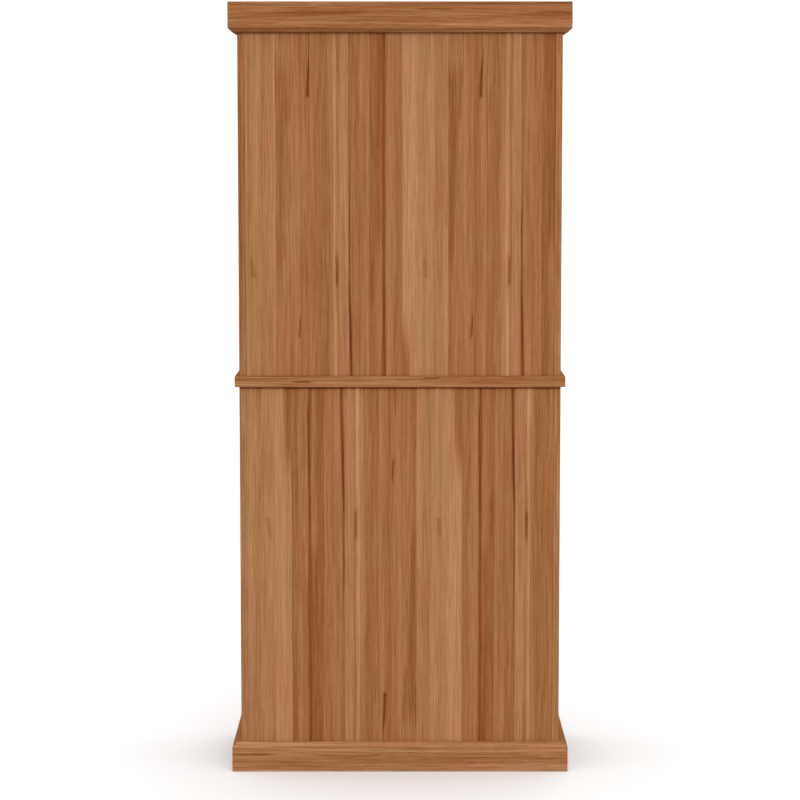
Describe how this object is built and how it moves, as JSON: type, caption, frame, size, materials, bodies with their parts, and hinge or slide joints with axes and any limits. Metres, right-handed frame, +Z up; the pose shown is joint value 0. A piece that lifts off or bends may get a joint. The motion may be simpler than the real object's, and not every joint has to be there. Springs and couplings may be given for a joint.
{
  "type": "pantry cabinet",
  "caption": "Tall two-section wooden pantry cabinet with hinged inset doors, shelves, staved back panels, a projecting crown, waist board and plinth.",
  "frame": {"origin": "on the floor under the middle of the whole cabinet, knobs included", "axes": "+Z up, the doors face -Y, the back panels face +Y, +X to the right as seen from the front"},
  "size_m": [0.804, 0.4102, 1.829],
  "materials": {
    "case_wood": "satin clear-finished hardwood, boards with upright grain",
    "moulding_wood": "satin clear-finished hardwood, grain along the board",
    "back_wood": "satin clear-finished panel glued up from full-length staves",
    "door_wood": "satin clear-finished hardwood frame and panel",
    "shelf_wood": "light satin hardwood",
    "bronze": "dark bronze, satin",
    "catch_body": "brown moulded plastic"
  },
  "bodies": {
    "carcass": {"upper_left_side": "case_wood", "upper_right_side": "case_wood", "lower_left_side": "case_wood", "lower_right_side": "case_wood", "top_board": "case_wood", "top_rail": "case_wood", "waist_board": "moulding_wood", "floor_board": "case_wood", "upper_back_panel": "back_wood", "lower_back_panel": "back_wood", "crown_front": "moulding_wood", "crown_rear": "moulding_wood", "crown_left": "moulding_wood", "crown_right": "moulding_wood", "base_front": "moulding_wood", "base_rear": "moulding_wood", "base_left": "moulding_wood", "base_right": "moulding_wood", "upper_catch": "catch_body", "lower_catch": "catch_body", "upper_shelf_1": "shelf_wood", "upper_shelf_1_left_cleat": "shelf_wood", "upper_shelf_1_right_cleat": "shelf_wood", "upper_shelf_2": "shelf_wood", "upper_shelf_2_left_cleat": "shelf_wood", "upper_shelf_2_right_cleat": "shelf_wood", "lower_shelf_1": "shelf_wood", "lower_shelf_1_left_cleat": "shelf_wood", "lower_shelf_1_right_cleat": "shelf_wood", "lower_shelf_2": "shelf_wood", "lower_shelf_2_left_cleat": "shelf_wood", "lower_shelf_2_right_cleat": "shelf_wood", "upper_left_bottom_hinge_frame_leaf": "bronze", "upper_left_top_hinge_frame_leaf": "bronze", "upper_right_bottom_hinge_frame_leaf": "bronze", "upper_right_top_hinge_frame_leaf": "bronze", "lower_left_bottom_hinge_frame_leaf": "bronze", "lower_left_top_hinge_frame_leaf": "bronze", "lower_right_bottom_hinge_frame_leaf": "bronze", "lower_right_top_hinge_frame_leaf": "bronze"},
    "upper_left_door": {"upper_left_door_frame": "door_wood", "upper_left_door_panel": "door_wood", "upper_left_door_knob": "bronze", "upper_left_bottom_hinge_door_leaf": "bronze", "upper_left_top_hinge_door_leaf": "bronze"},
    "upper_right_door": {"upper_right_door_frame": "door_wood", "upper_right_door_panel": "door_wood", "upper_right_door_knob": "bronze", "upper_right_bottom_hinge_door_leaf": "bronze", "upper_right_top_hinge_door_leaf": "bronze"},
    "lower_left_door": {"lower_left_door_frame": "door_wood", "lower_left_door_panel": "door_wood", "lower_left_door_knob": "bronze", "lower_left_bottom_hinge_door_leaf": "bronze", "lower_left_top_hinge_door_leaf": "bronze"},
    "lower_right_door": {"lower_right_door_frame": "door_wood", "lower_right_door_panel": "door_wood", "lower_right_door_knob": "bronze", "lower_right_bottom_hinge_door_leaf": "bronze", "lower_right_top_hinge_door_leaf": "bronze"}
  },
  "joints": [
    {"name": "upper_left_door_swing", "type": "hinge", "parent": "carcass", "child": "upper_left_door", "pos_m": [-0.364, -0.18165, 0.9539], "axis": [0, 0, -1], "range_deg": [0, 180]},
    {"name": "upper_right_door_swing", "type": "hinge", "parent": "carcass", "child": "upper_right_door", "pos_m": [0.364, -0.18165, 0.9539], "axis": [0, 0, 1], "range_deg": [0, 180]},
    {"name": "lower_left_door_swing", "type": "hinge", "parent": "carcass", "child": "lower_left_door", "pos_m": [-0.364, -0.18165, 0.0725], "axis": [0, 0, -1], "range_deg": [0, 180]},
    {"name": "lower_right_door_swing", "type": "hinge", "parent": "carcass", "child": "lower_right_door", "pos_m": [0.364, -0.18165, 0.0725], "axis": [0, 0, 1], "range_deg": [0, 180]}
  ]
}
